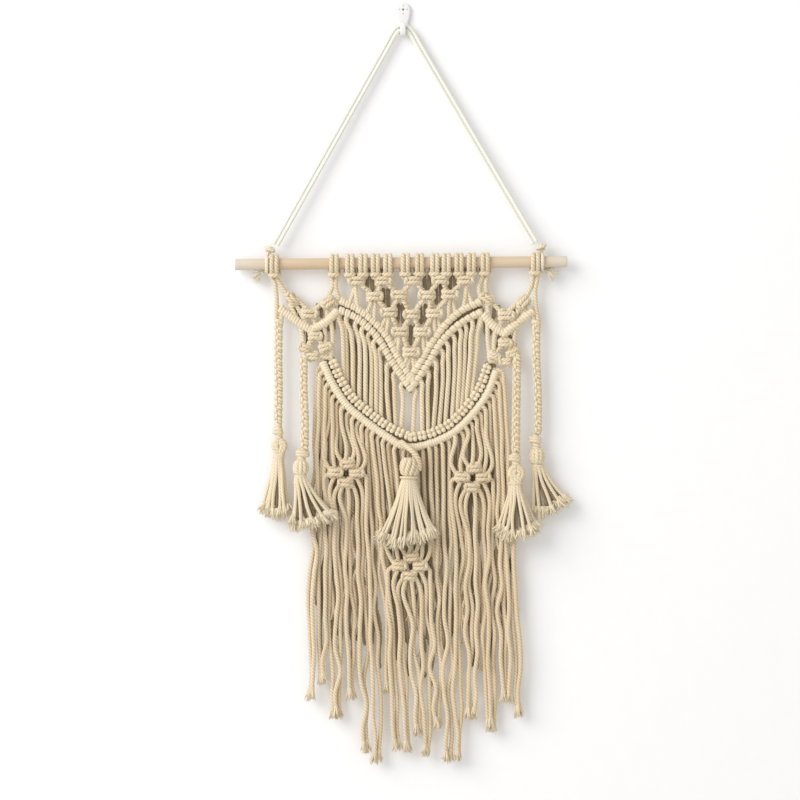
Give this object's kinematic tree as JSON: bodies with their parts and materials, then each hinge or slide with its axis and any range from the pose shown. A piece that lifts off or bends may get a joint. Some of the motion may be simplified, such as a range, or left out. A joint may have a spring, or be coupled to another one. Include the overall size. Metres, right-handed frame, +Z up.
{
  "type": "macrame wall hanging on a dowel and wall hook",
  "caption": "Knotted cotton cord hanging on a wooden dowel, with a V of hitched bars, a scalloped fringe and tassels, held by a doubled cord on a wall hook.",
  "frame": {"origin": "middle of the wall hook's flat back, on the wall", "axes": "+Z up along the hanging, +Y into the wall, +X to the viewer's right; the wall is the plane Y = 0"},
  "size_m": [0.35, 0.0306, 0.7982],
  "materials": {
    "hook_plastic": "white moulded plastic, smooth satin",
    "dowel_wood": "pale sanded wood, unvarnished, fine straight grain",
    "pale_cord": "pale cream twisted cotton cord",
    "cotton_cord": "natural beige twisted cotton cord, matt, slightly hairy"
  },
  "bodies": {
    "root": {"wall_hook": "hook_plastic", "dowel": "dowel_wood", "hanging_cord_outer": "pale_cord", "hanging_cord_inner": "pale_cord", "hanger_knot_left": "pale_cord", "hanger_knot_right": "pale_cord", "panel": "cotton_cord", "fringe": "cotton_cord", "braid_outer_left": "cotton_cord", "braid_inner_left": "cotton_cord", "braid_inner_right": "cotton_cord", "braid_outer_right": "cotton_cord", "tassel_outer_left": "cotton_cord", "tassel_inner_left": "cotton_cord", "tassel_middle": "cotton_cord", "tassel_inner_right": "cotton_cord", "tassel_outer_right": "cotton_cord"}
  },
  "joints": []
}
